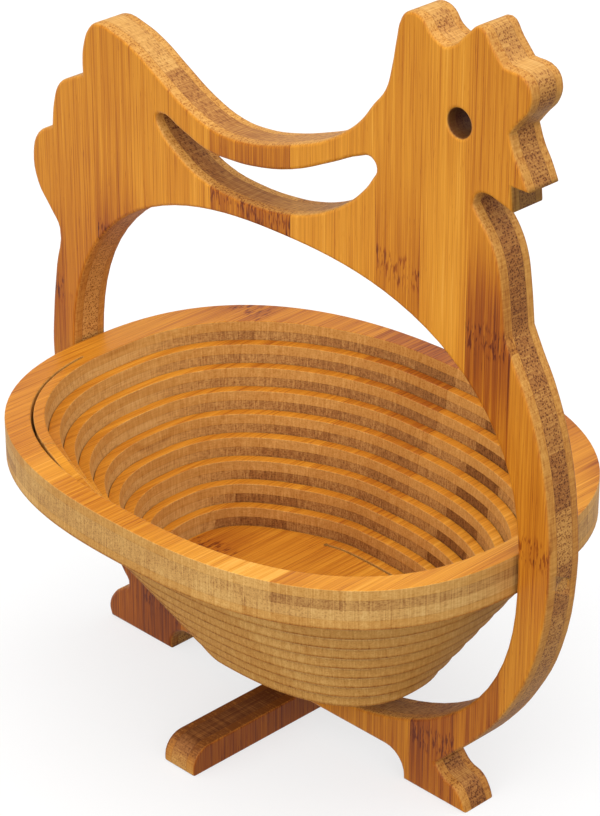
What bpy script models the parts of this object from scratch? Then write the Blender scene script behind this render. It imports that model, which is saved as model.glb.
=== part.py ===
"""Collapsible bamboo basket in the outline of a hen.

One board gives every wooden piece: the standing frame, the bowl cut from the frame's opening as one
long spiral strip, and the cross foot cut from the notch under the frame. The bowl hangs on two pins.
Metres, +Z up, the hen's head towards +X and its front face towards -Y.
"""

import math

import bmesh
import bpy
from mathutils import Vector

# Board
BOARD_THICKNESS = 0.0160
CUT_GAP = 0.0003

# Standing frame
OPENING_HALF_WIDTH = 0.1158
OPENING_HALF_HEIGHT = 0.0920
OPENING_POWER = 2.45
RAIL_WIDTH = 0.0144
BOTTOM_BAR_HEIGHT = 0.0066
CREST_HEIGHT = 0.1042
HEAD_FOOT_REACH = 0.0949
TAIL_FOOT_REACH = 0.0991
TOE_HEIGHT = 0.0156
EYE_DIAMETER = 0.0102

# Cross foot and the notch it comes from
CROSS_FOOT_HALF_LENGTH = 0.0624
CROSS_FOOT_HEIGHT = 0.0108
CROSS_FOOT_END_RADIUS = 0.0082
CROSS_FOOT_KERF = 0.0012

# Bowl
FRAME_KERF = 0.0014
RIM_WIDTH = 0.0096
STRIP_PITCH = 0.0051
STRIP_KERF = 0.0010
STRIP_WEDGE_GAP = 0.0002
STRIP_TURNS = 9
BOWL_CLEARANCE = 0.0165
PILOT_HOLE_DIAMETER = 0.0020

# Pivot pins, their plugs and the cross foot's screw
PIN_DIAMETER = 0.0030
PIN_DEPTH_IN_RIM = 0.0065
PLUG_DIAMETER = 0.0050
PLUG_LENGTH = 0.0040
PLUG_RECESS = 0.0001
FIT_CLEARANCE = 0.0002
SCREW_SHANK_DIAMETER = 0.0035
SCREW_HEAD_DIAMETER = 0.0070
SCREW_HEAD_HEIGHT = 0.0022
SCREW_HEAD_RECESS = 0.0005
SCREW_BITE = 0.0045
CUT_OVERRUN = 0.0020

# Where the spiral cut starts, drops and steps inwards, as shares of a turn
SPIRAL_START_SHARE = 187.5 / 360
STRIP_END_SHARE = 0.807
DROP_START_SHARE = 0.115
DROP_END_SHARE = 0.220
SHIFT_START_SHARE = 0.757
SHIFT_END_SHARE = 0.897

# Facets
OPENING_POINTS = 96
RING_POINTS = 64
ROUND_POINTS = 24
CURVE_STEPS = 4

# Heights and depths that follow from the sizes above
NOTCH_HEIGHT = CROSS_FOOT_HEIGHT + CUT_GAP
OPENING_CENTRE = NOTCH_HEIGHT + BOTTOM_BAR_HEIGHT + OPENING_HALF_HEIGHT
OPENING_TOP = OPENING_CENTRE + OPENING_HALF_HEIGHT
RIM_HALF_LENGTH = OPENING_HALF_WIDTH - FRAME_KERF
RIM_HALF_WIDTH = OPENING_HALF_HEIGHT - FRAME_KERF
# The bowl's base hangs BOWL_CLEARANCE above the bottom of the opening
STRIP_DROP = (OPENING_HALF_HEIGHT - BOARD_THICKNESS / 2 - BOWL_CLEARANCE) / STRIP_TURNS
DROP_MIDDLE_SHARE = (DROP_START_SHARE + DROP_END_SHARE) / 2
# The spiral cut leans inwards going down, so that each turn wedges in the one above when it has dropped
KERF_SLOPE = (STRIP_KERF - STRIP_WEDGE_GAP) / STRIP_DROP
KERF_LEAN = BOARD_THICKNESS * KERF_SLOPE

# The flanks run round the opening: angle in degrees, then the rail's width there as a share of RAIL_WIDTH
BREAST_SHARES = [
    (-45, 0.98),
    (-35, 0.77),
    (-25, 0.72),
    (-14, 0.83),
    (0, 1.00),
    (11, 1.04),
    (22, 1.20),
    (31, 1.44),
    (36, 1.60),
]
NECK_KINK_SHARE = (40, 1.82)
TAIL_ROOT_SHARES = [
    (156, 1.21),
    (163, 0.97),
    (173, 0.90),
    (180, 0.92),
    (-169, 0.80),
    (-158, 0.71),
    (-147, 0.77),
    (-137, 1.00),
]

# Places above the flanks: x as a share of OPENING_HALF_WIDTH, z above the opening as a share of CREST_HEIGHT
NECK_FRONT_SHARES = [(0.904, 0.125), (0.886, 0.223), (0.853, 0.298), (0.812, 0.353)]
THROAT_SHARE = (0.782, 0.395)
WATTLE_SHARES = [(0.797, 0.433), (0.831, 0.446), (0.875, 0.436)]
WATTLE_TIP_SHARE = (0.932, 0.418)
BEAK_CORNER_SHARES = [(0.924, 0.504), (0.989, 0.504)]
BEAK_TOP_SHARES = [(0.960, 0.568), (0.933, 0.617)]
BROW_SHARE = (0.911, 0.679)
FRONT_COMB_SHARES = [(0.943, 0.724), (0.982, 0.778), (0.990, 0.835), (0.963, 0.881)]
FRONT_VALLEY_SHARE = (0.884, 0.894)
MIDDLE_COMB_SHARES = [(0.842, 0.945), (0.795, 1.000), (0.737, 0.957), (0.695, 0.911)]
REAR_VALLEY_SHARE = (0.657, 0.893)
REAR_COMB_SHARES = [(0.610, 0.917), (0.578, 0.957), (0.543, 0.971), (0.507, 0.962), (0.485, 0.934)]
NAPE_AND_BACK_SHARES = [
    (0.467, 0.856),
    (0.452, 0.767),
    (0.426, 0.671),
    (0.378, 0.604),
    (0.331, 0.536),
    (0.265, 0.472),
    (0.166, 0.405),
    (0.081, 0.366),
    (-0.071, 0.311),
    (-0.180, 0.288),
    (-0.300, 0.288),
    (-0.427, 0.330),
    (-0.563, 0.410),
    (-0.654, 0.466),
    (-0.747, 0.502),
    (-0.842, 0.512),
    (-0.881, 0.479),
    (-0.908, 0.410),
    (-0.915, 0.359),
]
UPPER_TAIL_NOTCH_SHARE = (-0.915, 0.296)
MIDDLE_TAIL_SHARES = [(-0.972, 0.266), (-1.034, 0.223), (-1.063, 0.149)]
LOWER_TAIL_NOTCH_SHARE = (-1.077, 0.043)
LOWER_TAIL_SHARES = [(-1.151, -0.009), (-1.179, -0.094), (-1.161, -0.209), (-1.100, -0.296)]
HANDLE_SLOT_SHARES = [
    (-0.554, 0.218),
    (-0.564, 0.245),
    (-0.546, 0.266),
    (-0.452, 0.237),
    (-0.330, 0.197),
    (-0.230, 0.197),
    (-0.137, 0.207),
    (0.038, 0.255),
    (0.208, 0.340),
    (0.323, 0.402),
    (0.373, 0.415),
    (0.396, 0.385),
    (0.378, 0.340),
    (0.325, 0.267),
    (0.263, 0.209),
    (0.209, 0.171),
    (0.123, 0.124),
    (0.038, 0.094),
    (-0.050, 0.076),
    (-0.228, 0.067),
    (-0.364, 0.087),
    (-0.455, 0.131),
]
EYE_SHARE = (0.721, 0.653)

# Places on the toes: x as a share of that foot's reach, z as a share of TOE_HEIGHT
HEAD_TOE_SHARES = [(0.984, 0.26), (0.947, 0.54), (0.884, 0.68)]
HEAD_INSTEP_SHARE = (0.840, 0.95)
TAIL_TOE_SHARES = [(0.891, 1.24), (0.941, 0.97), (0.978, 0.76), (1.012, 0.31)]

BAMBOO = (0.78, 0.50, 0.20)
CUT_BAMBOO = (0.66, 0.46, 0.24)
STEEL = (0.60, 0.60, 0.62)


def clear_scene():
    """Remove every object of the starting scene."""
    for item in list(bpy.data.objects):
        bpy.data.objects.remove(item, do_unlink=True)


def new_collection(name):
    collection = bpy.data.collections.new(name)
    bpy.context.scene.collection.children.link(collection)
    return collection


def new_material(name, colour, roughness, metallic):
    material = bpy.data.materials.new(name)
    material.use_nodes = True
    shader = material.node_tree.nodes["Principled BSDF"]
    shader.inputs["Base Color"].default_value = (*colour, 1)
    shader.inputs["Roughness"].default_value = roughness
    shader.inputs["Metallic"].default_value = metallic
    return material


def finish(piece, collection, colour, roughness=0.45, metallic=0.0, parent=None):
    """Give a piece its own material, its collection and its parent."""
    for holder in list(piece.users_collection):
        holder.objects.unlink(piece)
    collection.objects.link(piece)
    piece.data.materials.clear()
    piece.data.materials.append(new_material(piece.name, colour, roughness, metallic))
    piece.parent = parent
    return piece


def new_empty(name, collection, location, parent=None):
    empty = bpy.data.objects.new(name, None)
    empty.location = location
    empty.parent = parent
    collection.objects.link(empty)
    return empty


def object_from_bmesh(name, bm):
    """Close a bmesh into an object with its faces pointing out."""
    bmesh.ops.recalc_face_normals(bm, faces=bm.faces)
    mesh = bpy.data.meshes.new(name)
    bm.to_mesh(mesh)
    bm.free()
    piece = bpy.data.objects.new(name, mesh)
    bpy.context.scene.collection.objects.link(piece)
    return piece


def round_smooth(piece):
    piece.data.shade_smooth()
    piece.data.set_sharp_from_angle(angle=math.radians(40))


def opening_radius(angle, half_width, half_height):
    """Distance from the centre to the opening's rounded-square curve at an angle."""
    across = abs(math.cos(angle)) / half_width
    upward = abs(math.sin(angle)) / half_height
    return (across ** OPENING_POWER + upward ** OPENING_POWER) ** (-1 / OPENING_POWER)


def around_opening(angle, outset):
    """Point of the frame's plane that lies outset from the opening's edge, as (x, z)."""
    radius = opening_radius(angle, OPENING_HALF_WIDTH + outset, OPENING_HALF_HEIGHT + outset)
    return (radius * math.cos(angle), OPENING_CENTRE + radius * math.sin(angle))


def flank(share):
    degrees, rail_share = share
    return around_opening(math.radians(degrees), RAIL_WIDTH * rail_share)


def crest(share):
    across, upward = share
    return (OPENING_HALF_WIDTH * across, OPENING_TOP + CREST_HEIGHT * upward)


def toe(share, reach):
    across, upward = share
    return (reach * across, TOE_HEIGHT * upward)


def smooth(points):
    return [(point, False) for point in points]


def corner(*points):
    return [(point, True) for point in points]


def frame_outline():
    """The hen's outer outline, from the floor under the breast round to the floor under the tail."""
    outline = corner((HEAD_FOOT_REACH, 0))
    outline += smooth([toe(share, HEAD_FOOT_REACH) for share in HEAD_TOE_SHARES])
    outline += corner(toe(HEAD_INSTEP_SHARE, HEAD_FOOT_REACH))
    outline += smooth([flank(share) for share in BREAST_SHARES])
    outline += corner(flank(NECK_KINK_SHARE))
    outline += smooth([crest(share) for share in NECK_FRONT_SHARES])
    outline += corner(crest(THROAT_SHARE))
    outline += smooth([crest(share) for share in WATTLE_SHARES])
    outline += corner(crest(WATTLE_TIP_SHARE))
    outline += corner(*[crest(share) for share in BEAK_CORNER_SHARES])
    outline += smooth([crest(share) for share in BEAK_TOP_SHARES])
    outline += corner(crest(BROW_SHARE))
    outline += smooth([crest(share) for share in FRONT_COMB_SHARES])
    outline += corner(crest(FRONT_VALLEY_SHARE))
    outline += smooth([crest(share) for share in MIDDLE_COMB_SHARES])
    outline += corner(crest(REAR_VALLEY_SHARE))
    outline += smooth([crest(share) for share in REAR_COMB_SHARES + NAPE_AND_BACK_SHARES])
    outline += corner(crest(UPPER_TAIL_NOTCH_SHARE))
    outline += smooth([crest(share) for share in MIDDLE_TAIL_SHARES])
    outline += corner(crest(LOWER_TAIL_NOTCH_SHARE))
    outline += smooth([crest(share) for share in LOWER_TAIL_SHARES])
    outline += smooth([flank(share) for share in TAIL_ROOT_SHARES])
    outline += smooth([toe(share, -TAIL_FOOT_REACH) for share in TAIL_TOE_SHARES])
    outline += corner((-TAIL_FOOT_REACH, 0))
    return outline


def opening_outline():
    turns = [step / OPENING_POINTS for step in range(OPENING_POINTS)]
    return [around_opening(math.tau * turn, 0) for turn in turns]


def eye_outline():
    centre_x, centre_z = crest(EYE_SHARE)
    radius = EYE_DIAMETER / 2
    angles = [math.tau * step / ROUND_POINTS for step in range(ROUND_POINTS)]
    return [(centre_x + radius * math.cos(a), centre_z + radius * math.sin(a)) for a in angles]


def cross_foot_outline(growth):
    """Side view of the cross foot: flat below, with quarter-round upper ends; growth widens it all round."""
    half_length = CROSS_FOOT_HALF_LENGTH + growth
    radius = CROSS_FOOT_END_RADIUS + growth
    height = CROSS_FOOT_HEIGHT if growth == 0 else NOTCH_HEIGHT
    quarter = [math.pi / 2 * step / (ROUND_POINTS / 4) for step in range(ROUND_POINTS // 4 + 1)]
    centre_x = half_length - radius
    centre_z = height - radius
    right = [(centre_x + radius * math.cos(a), centre_z + radius * math.sin(a)) for a in quarter]
    left = [(-x, z) for x, z in reversed(right)]
    floor = -CUT_OVERRUN if growth else 0
    return [(half_length, floor)] + right + left + [(-half_length, floor)]


def add_poly_spline(curve, points):
    spline = curve.splines.new("POLY")
    spline.points.add(len(points) - 1)
    for target, (x, y) in zip(spline.points, points):
        target.co = (x, y, 0, 1)
    spline.use_cyclic_u = True


def add_bezier_spline(curve, flagged_points):
    """Closed spline that is smooth through every point but the corners."""
    spline = curve.splines.new("BEZIER")
    spline.bezier_points.add(len(flagged_points) - 1)
    for target, ((x, y), is_corner) in zip(spline.bezier_points, flagged_points):
        target.co = (x, y, 0)
        handle = "VECTOR" if is_corner else "AUTO"
        target.handle_left_type = handle
        target.handle_right_type = handle
    spline.use_cyclic_u = True


def new_board_curve(name, thickness):
    """Flat filled curve that becomes a board of the given thickness."""
    curve = bpy.data.curves.new(name, "CURVE")
    curve.dimensions = "2D"
    curve.fill_mode = "BOTH"
    curve.extrude = thickness / 2
    curve.resolution_u = CURVE_STEPS
    curve.render_resolution_u = CURVE_STEPS
    return curve


def upright_board(curve, rotation):
    """Stand a flat curve up and turn it into a closed mesh object of the same name."""
    name = curve.name
    holder = bpy.data.objects.new(name + "_curve", curve)
    bpy.context.scene.collection.objects.link(holder)
    holder.rotation_euler = rotation
    bpy.context.view_layer.update()
    evaluated = holder.evaluated_get(bpy.context.evaluated_depsgraph_get())
    mesh = bpy.data.meshes.new_from_object(evaluated)
    placement = holder.matrix_world.copy()
    bpy.data.objects.remove(holder, do_unlink=True)
    bm = bmesh.new()
    bm.from_mesh(mesh)
    bmesh.ops.remove_doubles(bm, verts=bm.verts, dist=CUT_GAP / 100)
    bpy.data.meshes.remove(mesh)
    board = object_from_bmesh(name, bm)
    board.matrix_world = placement
    return board


def new_cylinder(name, diameter, start_x, end_x, height):
    """Cylinder along X between two places at one height."""
    bm = bmesh.new()
    radius = diameter / 2
    bmesh.ops.create_cone(bm, cap_ends=True, segments=ROUND_POINTS, radius1=radius, radius2=radius,
                          depth=abs(end_x - start_x))
    piece = object_from_bmesh(name, bm)
    piece.rotation_euler = (0, math.pi / 2, 0)
    piece.location = ((start_x + end_x) / 2, 0, height)
    return piece


def cut(target, cutter, cutters):
    """Take the cutter's shape out of the target."""
    for holder in list(cutter.users_collection):
        holder.objects.unlink(cutter)
    cutters.objects.link(cutter)
    cutter.display_type = "WIRE"
    cutter.hide_render = True
    modifier = target.modifiers.new(cutter.name, "BOOLEAN")
    modifier.operation = "DIFFERENCE"
    modifier.solver = "EXACT"
    modifier.object = cutter


def screw_profile(growth):
    """Half section of the countersunk screw, from the tip's axis down its outer side to the head's axis."""
    shank = SCREW_SHANK_DIAMETER / 2 + growth
    head = SCREW_HEAD_DIAMETER / 2 + growth
    tip_height = NOTCH_HEIGHT + SCREW_BITE + growth
    neck_height = SCREW_HEAD_RECESS + SCREW_HEAD_HEIGHT
    mouth = -CUT_OVERRUN if growth else SCREW_HEAD_RECESS
    head_edge = [(head, SCREW_HEAD_RECESS), (head, mouth)] if growth else [(head, mouth)]
    return [(0, tip_height), (shank, tip_height), (shank, neck_height)] + head_edge + [(0, mouth)]


def turned(name, profile):
    """Solid of revolution about Z from a half section."""
    bm = bmesh.new()
    points = [bm.verts.new((x, 0, z)) for x, z in profile]
    for first, second in zip(points, points[1:]):
        bm.edges.new((first, second))
    mesh = bpy.data.meshes.new(name)
    bm.to_mesh(mesh)
    bm.free()
    piece = bpy.data.objects.new(name, mesh)
    bpy.context.scene.collection.objects.link(piece)
    screw = piece.modifiers.new("turn", "SCREW")
    screw.steps = ROUND_POINTS
    screw.render_steps = ROUND_POINTS
    screw.use_merge_vertices = True
    screw.merge_threshold = CUT_GAP / 100
    screw.use_smooth_shade = True
    return piece


def eased(value):
    """Smooth step from 0 to 1."""
    value = min(max(value, 0), 1)
    return value * value * (3 - 2 * value)


def kerf_inset(turn):
    """How far inside the bowl's outline the spiral cut lies after so many turns."""
    whole = math.floor(turn)
    shift = (turn - whole - SHIFT_START_SHARE) / (SHIFT_END_SHARE - SHIFT_START_SHARE)
    return RIM_WIDTH + STRIP_PITCH * (whole + eased(shift))


def strip_depth(turn):
    """How far the strip has dropped below the rim after so many turns."""
    whole = math.floor(turn)
    drop = (turn - whole - DROP_START_SHARE) / (DROP_END_SHARE - DROP_START_SHARE)
    return STRIP_DROP * (whole + eased(drop))


def bowl_point(turn, inset, depth):
    """Point on the bowl's top side, measured from the pivot axis."""
    angle = math.tau * (SPIRAL_START_SHARE + turn)
    radius = opening_radius(angle, RIM_HALF_LENGTH - inset, RIM_HALF_WIDTH - inset)
    top = BOARD_THICKNESS / 2 - depth
    return Vector((radius * math.cos(angle), radius * math.sin(angle), top))


def new_bowl_mesh():
    """Empty bmesh whose points carry the place below them on the underside."""
    bm = bmesh.new()
    bm.verts.layers.float_vector.new("underside")
    return bm


def add_bowl_point(bm, turn, inset, depth, lean=KERF_LEAN):
    """Point of the top side; the leaning cut sets its underside further in."""
    point = bm.verts.new(bowl_point(turn, inset, depth))
    point[bm.verts.layers.float_vector["underside"]] = bowl_point(turn, inset + lean, depth + BOARD_THICKNESS)
    return point


def turns_between(start, end):
    steps = max(2, round((end - start) * RING_POINTS))
    return [start + (end - start) * step / steps for step in range(steps + 1)]


def strip_columns(bm, start, end):
    """Pairs of points across the strip, from one turn value to another."""
    columns = []
    for turn in turns_between(start, end):
        depth = strip_depth(turn)
        outer = add_bowl_point(bm, turn, kerf_inset(turn) + STRIP_KERF / 2, depth)
        inner = add_bowl_point(bm, turn, kerf_inset(turn + 1) - STRIP_KERF / 2, depth)
        columns.append((outer, inner))
    return columns


def add_ribbon(bm, columns):
    for (outer, inner), (next_outer, next_inner) in zip(columns, columns[1:]):
        bm.faces.new((outer, next_outer, next_inner, inner))


def thickened(name, bm):
    """Extrude the top side down to the underside and close it into an object."""
    underside = bm.verts.layers.float_vector["underside"]
    result = bmesh.ops.extrude_face_region(bm, geom=bm.faces[:])
    for item in result["geom"]:
        if isinstance(item, bmesh.types.BMVert):
            item.co = item[underside]
    bm.verts.layers.float_vector.remove(underside)
    return object_from_bmesh(name, bm)


def end_gap_share(number):
    """Half the gap between two lengths of the strip, as a share of a turn."""
    turn = number + DROP_MIDDLE_SHARE
    radius = bowl_point(turn, kerf_inset(turn), 0).to_2d().length
    return CUT_GAP / 2 / (math.tau * radius)


def make_rim():
    """Outer ring of the bowl with the first stretch of the strip still attached."""
    bm = new_bowl_mesh()
    turns = turns_between(0, 1)[:-1]
    outer = [add_bowl_point(bm, turn, 0, 0, lean=0) for turn in turns]
    inner = [add_bowl_point(bm, turn, kerf_inset(turn) - STRIP_KERF / 2, 0) for turn in turns]
    add_ribbon(bm, list(zip(outer, inner)))
    tongue = strip_columns(bm, 0, DROP_MIDDLE_SHARE - end_gap_share(0))
    root_outer, root_inner = tongue[0]
    bm.faces.new((outer[-1], outer[0], inner[0], root_outer, root_inner, inner[-1]))
    add_ribbon(bm, tongue)
    return thickened("basket_rim", bm)


def make_turn(number):
    """One full turn of the strip, with half a drop at either end."""
    bm = new_bowl_mesh()
    start = number - 1 + DROP_MIDDLE_SHARE + end_gap_share(number - 1)
    end = number + DROP_MIDDLE_SHARE - end_gap_share(number)
    add_ribbon(bm, strip_columns(bm, start, end))
    return thickened(f"spiral_turn_{number}", bm)


def make_base(cutters):
    """The board left in the middle, with the last stretch of the strip that leads into it."""
    bm = new_bowl_mesh()
    last = STRIP_TURNS - 1
    start = last + DROP_MIDDLE_SHARE + end_gap_share(last)
    tongue_end = last + STRIP_END_SHARE
    depth = STRIP_DROP * STRIP_TURNS
    tongue = strip_columns(bm, start, tongue_end)
    add_ribbon(bm, tongue)
    plate_turns = turns_between(start + 1, tongue_end + 1) + turns_between(tongue_end, start + 1)[1:-1]
    plate = [add_bowl_point(bm, turn, kerf_inset(turn) + STRIP_KERF / 2, depth) for turn in plate_turns]
    slit_points = len(turns_between(start + 1, tongue_end + 1))
    tongue_outer, tongue_inner = tongue[-1]
    bm.faces.new(plate[:slit_points] + [tongue_inner, tongue_outer] + plate[slit_points:])
    base = thickened("basket_base", bm)
    pilot = new_pilot_drill(bowl_point(tongue_end + 1, kerf_inset(tongue_end + 1), depth))
    cut(base, pilot, cutters)
    return base, pilot


def new_pilot_drill(top):
    """Drill for the hole where the spiral cut ends."""
    bm = bmesh.new()
    radius = PILOT_HOLE_DIAMETER / 2
    bmesh.ops.create_cone(bm, cap_ends=True, segments=ROUND_POINTS // 2, radius1=radius, radius2=radius,
                          depth=BOARD_THICKNESS + 2 * CUT_OVERRUN)
    pilot = object_from_bmesh("pilot_drill", bm)
    pilot.location = top - Vector((0, 0, BOARD_THICKNESS / 2))
    return pilot


def make_frame(cutters):
    """The standing board: outline, opening, handle slot and eye, then notch and bores."""
    curve = new_board_curve("frame", BOARD_THICKNESS)
    add_bezier_spline(curve, frame_outline())
    add_poly_spline(curve, opening_outline())
    add_bezier_spline(curve, smooth([crest(share) for share in HANDLE_SLOT_SHARES]))
    add_poly_spline(curve, eye_outline())
    frame = upright_board(curve, (math.pi / 2, 0, 0))
    notch_curve = new_board_curve("notch_cutter", BOARD_THICKNESS + 2 * CUT_OVERRUN)
    add_poly_spline(notch_curve, cross_foot_outline(CROSS_FOOT_KERF))
    cut(frame, upright_board(notch_curve, (math.pi / 2, 0, 0)), cutters)
    cut(frame, turned("screw_drill", screw_profile(FIT_CLEARANCE)), cutters)
    return frame


def make_pivot(side_name, side, frame, cutters):
    """One pivot: bores through the frame's rail, the steel pin and the wooden plug over it."""
    rail_face = side * (OPENING_HALF_WIDTH + RAIL_WIDTH)
    plug_face = rail_face - side * PLUG_RECESS
    plug_end = plug_face - side * PLUG_LENGTH
    pin_start = plug_end - side * CUT_GAP
    pin_end = side * (RIM_HALF_LENGTH - PIN_DEPTH_IN_RIM)
    bore = PIN_DIAMETER + 2 * FIT_CLEARANCE
    wide_bore = PLUG_DIAMETER + 2 * FIT_CLEARANCE
    inside = side * (OPENING_HALF_WIDTH - FRAME_KERF / 2)
    outside = rail_face + side * CUT_OVERRUN
    cut(frame, new_cylinder(f"pin_drill_{side_name}", bore, inside, outside, OPENING_CENTRE), cutters)
    plug_seat = plug_end - side * FIT_CLEARANCE
    cut(frame, new_cylinder(f"plug_drill_{side_name}", wide_bore, plug_seat, outside, OPENING_CENTRE), cutters)
    pin = new_cylinder(f"pivot_pin_{side_name}", PIN_DIAMETER, pin_start, pin_end, OPENING_CENTRE)
    plug = new_cylinder(f"pin_plug_{side_name}", PLUG_DIAMETER, plug_face, plug_end, OPENING_CENTRE)
    round_smooth(pin)
    round_smooth(plug)
    return pin, plug


def drill_rim(rim, side_name, side, cutters):
    """Blind hole in the rim's end for the pivot pin, measured from the pivot axis."""
    hole_end = side * (RIM_HALF_LENGTH - PIN_DEPTH_IN_RIM - CUT_GAP)
    outside = side * (RIM_HALF_LENGTH + CUT_OVERRUN)
    drill = new_cylinder(f"rim_drill_{side_name}", PIN_DIAMETER + 2 * FIT_CLEARANCE, hole_end, outside, 0)
    cut(rim, drill, cutters)
    return drill


def make_cross_foot(cutters):
    curve = new_board_curve("cross_foot", BOARD_THICKNESS)
    add_poly_spline(curve, cross_foot_outline(0))
    foot = upright_board(curve, (math.pi / 2, 0, math.pi / 2))
    cut(foot, turned("countersink_drill", screw_profile(FIT_CLEARANCE)), cutters)
    return foot


def middle_of_outline(frame):
    """Where the frame's outline has its middle along X."""
    xs = [vertex.co.x for vertex in frame.data.vertices]
    return (min(xs) + max(xs)) / 2


def build():
    clear_scene()
    parts = new_collection("collapsible_basket")
    cutters = new_collection("cutters")

    frame = make_frame(cutters)
    origin = new_empty("basket_origin", parts, (-middle_of_outline(frame), 0, 0))
    pivot = new_empty("bowl_pivot", parts, (0, 0, OPENING_CENTRE), origin)
    finish(frame, parts, BAMBOO, parent=origin)

    rim = make_rim()
    finish(rim, parts, BAMBOO, parent=pivot)
    for side_name, side in (("head_side", 1), ("tail_side", -1)):
        pin, plug = make_pivot(side_name, side, frame, cutters)
        finish(pin, parts, STEEL, roughness=0.30, metallic=1.0, parent=origin)
        finish(plug, parts, CUT_BAMBOO, parent=origin)
        drill_rim(rim, side_name, side, cutters).parent = pivot

    for number in range(1, STRIP_TURNS):
        finish(make_turn(number), parts, CUT_BAMBOO, parent=pivot)
    base, pilot = make_base(cutters)
    finish(base, parts, BAMBOO, parent=pivot)
    pilot.parent = pivot

    finish(make_cross_foot(cutters), parts, BAMBOO, parent=origin)
    screw = turned("foot_screw", screw_profile(0))
    finish(screw, parts, STEEL, roughness=0.30, metallic=1.0, parent=origin)

    for cutter in cutters.objects:
        if cutter.parent is None:
            cutter.parent = origin


build()
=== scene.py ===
"""Looks of the collapsible bamboo basket: dressed boards, the spiral-cut bowl, light and camera.

Metres, +Z up, the hen's head towards +X and its front face towards -Y.
"""

import math
from collections import namedtuple

import bmesh
import bpy
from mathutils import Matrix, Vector


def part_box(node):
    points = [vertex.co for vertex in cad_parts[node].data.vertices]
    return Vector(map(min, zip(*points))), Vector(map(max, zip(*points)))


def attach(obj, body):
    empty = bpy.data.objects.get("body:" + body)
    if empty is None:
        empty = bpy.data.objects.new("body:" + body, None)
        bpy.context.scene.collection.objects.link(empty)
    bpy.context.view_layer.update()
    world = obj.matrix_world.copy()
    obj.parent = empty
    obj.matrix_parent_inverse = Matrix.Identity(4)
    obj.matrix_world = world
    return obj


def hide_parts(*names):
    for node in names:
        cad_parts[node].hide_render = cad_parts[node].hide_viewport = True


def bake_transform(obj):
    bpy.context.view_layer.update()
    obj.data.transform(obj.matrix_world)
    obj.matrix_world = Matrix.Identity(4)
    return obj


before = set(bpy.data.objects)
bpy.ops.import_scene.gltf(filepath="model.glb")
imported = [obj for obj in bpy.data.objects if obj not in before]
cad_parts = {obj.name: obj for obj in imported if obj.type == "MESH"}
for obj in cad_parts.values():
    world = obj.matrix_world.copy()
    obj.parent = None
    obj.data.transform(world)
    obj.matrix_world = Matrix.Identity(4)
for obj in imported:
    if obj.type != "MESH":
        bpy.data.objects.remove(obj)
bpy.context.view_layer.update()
MM = 0.001

# Board and bowl, as in the CAD
BOARD_THICKNESS = 0.0160
OPENING_HALF_WIDTH = 0.1158
OPENING_HALF_HEIGHT = 0.0920
OPENING_POWER = 2.45
FRAME_KERF = 0.0014
RIM_WIDTH = 0.0096
STRIP_PITCH = 0.0051
STRIP_KERF = 0.0010
STRIP_WEDGE_GAP = 0.0002
STRIP_DROP = 0.0075
STRIP_TURNS = 9
PILOT_HOLE_DIAMETER = 0.0020
SPIRAL_START_SHARE = 187.5 / 360
STRIP_END_SHARE = 0.807
DROP_START_SHARE = 0.115
DROP_END_SHARE = 0.220
SHIFT_START_SHARE = 0.757
SHIFT_END_SHARE = 0.897
RIM_HALF_LENGTH = OPENING_HALF_WIDTH - FRAME_KERF
RIM_HALF_WIDTH = OPENING_HALF_HEIGHT - FRAME_KERF
KERF_LEAN = BOARD_THICKNESS * (STRIP_KERF - STRIP_WEDGE_GAP) / STRIP_DROP
# Middle of the bowl's rim, on the axis of the pins
PIVOT = Vector((
    sum(corner.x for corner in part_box("cross_foot")) / 2,
    0,
    sum(corner.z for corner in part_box("pivot_pin_head_side")) / 2,
))

# Sanded edges and facets. FLAT_SHARE and LEVEL_SHARE are how much of a face's normal has to point
# through the board for the face to count as flat or level.
FRAME_ROUNDING = 0.0013
FOOT_ROUNDING = 0.0009
STRIP_ROUNDING = 0.0004
PLUG_ROUNDING = 0.0002
ROUNDING_STEPS = 4
SMALL_ROUNDING_STEPS = 2
ROUNDED_ANGLE = math.radians(55)
SMOOTH_ANGLE = math.radians(40)
PLANAR_ANGLE = math.radians(0.2)
CROSSING_PASSES = 12
SHARPEST_MITRE = 0.5
WELD_DISTANCE = 0.000002
RING_POINTS = 144
FEWEST_STEPS = 4
HOLE_POINTS = 20
FLAT_SHARE = 0.9999
LEVEL_SHARE = 0.7

# Bamboo board, in mm: where a joint between two strips of an outer ply lies, how wide a strip is,
# the height of the core strips' middle, and how far from the board's middle the plies meet and
# the painted shade at the back of a cut edge starts
STRIP_JOINT_AT = 4.4
STRIP_SPACING = 20.9
CORE_STRIPS_MIDDLE = 155.0
PLY_EDGE = 4.0
BACK_EDGE = 7.6
# The eye hole in the board, in mm, and how much of its wall's colour is painted shade
EYE_PLACE = (83.5, 269.7)
EYE_RADIUS = 5.1
EYE_SHADE_SHARE = 0.85
# For each strip of an outer ply from the tail end to the head end: the height of its knot in mm,
# and how much darker the wood is round the knot
KNOT_HEIGHTS = (140, 30, 171, 20, 110, 206, 205, 58, 300, 208, 24, 195, 122, 36)
KNOT_SHADES = (0.16, 0.12, 0.14, 0.12, 0.30, 0.18, 0.16, 0.12, 0.12, 0.14, 0.16, 0.33, 0.12, 0.12)
KNOT_SPAN = 310.0
STRIP_COUNT = len(KNOT_HEIGHTS)

# Textures: size across, through and along the fibres in mm, and for noise its detail
STREAKS = (1.7, 1.7, 220, 3.0)
FIBRES = (0.42, 0.42, 60, 2.0)
FLECKS = (0.50, 0.50, 7, 1.0)
CLOUDS = (26, 26, 60, 2.0)
DASHES = (0.9, 0.9, 5, 2.0)
KNOT_WAVE = (6, 6, 200, 1.0)
SAW_MARKS = (0.55, 14, 0.55, 2.0)
BUNDLES = (0.85, 0.85, 30)
KNOT_WAVE_HEIGHT = 9

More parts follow.
